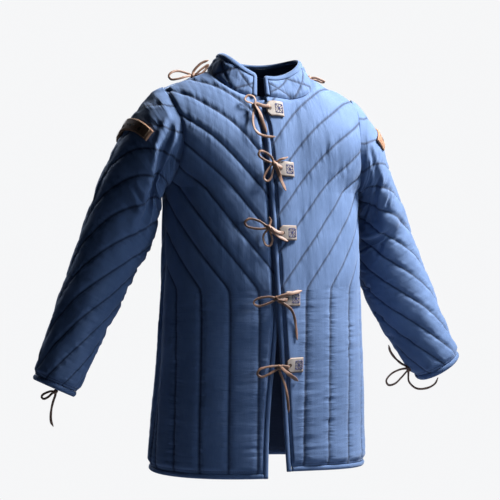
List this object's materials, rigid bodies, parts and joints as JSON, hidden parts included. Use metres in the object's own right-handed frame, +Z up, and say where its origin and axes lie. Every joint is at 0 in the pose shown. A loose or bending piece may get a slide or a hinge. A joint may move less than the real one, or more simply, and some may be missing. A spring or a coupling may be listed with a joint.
{
  "type": "gambeson",
  "caption": "Blue quilted padded jacket with a standing collar, open front edges lapped and tied with leather laces over pale tabs, and long sleeves.",
  "frame": {"origin": "between the shoulder points at the neck, on the ridge line of the shoulder seams where the wearer holds the coat", "axes": "+Z up, -Y to the front of the wearer, +X to the wearer's left"},
  "size_m": [0.9584, 0.3516, 0.8884],
  "materials": {
    "quilted_cloth": "soft cotton twill, slight sheen",
    "binding_cloth": "plain cotton, matte",
    "pale_leather": "natural, matte",
    "brown_leather": "oiled, satin",
    "lace_leather": "cut thong, matte"
  },
  "bodies": {
    "root": {"front_left": "quilted_cloth", "front_right": "quilted_cloth", "back": "quilted_cloth", "sleeve_left": "quilted_cloth", "sleeve_right": "quilted_cloth", "collar": "quilted_cloth", "binding_front_left": "binding_cloth", "binding_front_right": "binding_cloth", "binding_hem_left": "binding_cloth", "binding_hem_right": "binding_cloth", "binding_hem_back": "binding_cloth", "binding_collar": "binding_cloth", "binding_cuff_left": "binding_cloth", "binding_cuff_right": "binding_cloth", "tab_1": "pale_leather", "tab_2": "pale_leather", "tab_3": "pale_leather", "tab_4": "pale_leather", "tab_5": "pale_leather", "arm_patch_left": "brown_leather", "arm_patch_right": "brown_leather", "tie_1_knot": "lace_leather", "tie_1_strap": "lace_leather", "tie_1_loop": "lace_leather", "tie_1_tail": "lace_leather", "tie_2_knot": "lace_leather", "tie_2_strap": "lace_leather", "tie_2_loop": "lace_leather", "tie_2_tail": "lace_leather", "tie_3_knot": "lace_leather", "tie_3_strap": "lace_leather", "tie_3_loop": "lace_leather", "tie_3_tail": "lace_leather", "tie_4_knot": "lace_leather", "tie_4_strap": "lace_leather", "tie_4_loop": "lace_leather", "tie_4_tail": "lace_leather", "tie_5_knot": "lace_leather", "tie_5_strap": "lace_leather", "tie_5_loop": "lace_leather", "tie_5_tail": "lace_leather", "tie_2_low_loop": "lace_leather", "tie_3_low_loop": "lace_leather", "shoulder_right_knot": "lace_leather", "shoulder_right_ring": "lace_leather", "shoulder_right_leaf": "lace_leather", "shoulder_right_tail": "lace_leather", "shoulder_left_knot": "lace_leather", "shoulder_left_loop": "lace_leather", "cuff_right_knot": "lace_leather", "cuff_right_tail": "lace_leather", "cuff_right_loop": "lace_leather", "cuff_left_knot": "lace_leather", "cuff_left_loop": "lace_leather", "cuff_left_tail": "lace_leather", "cuff_left_low_loop": "lace_leather"}
  },
  "joints": []
}
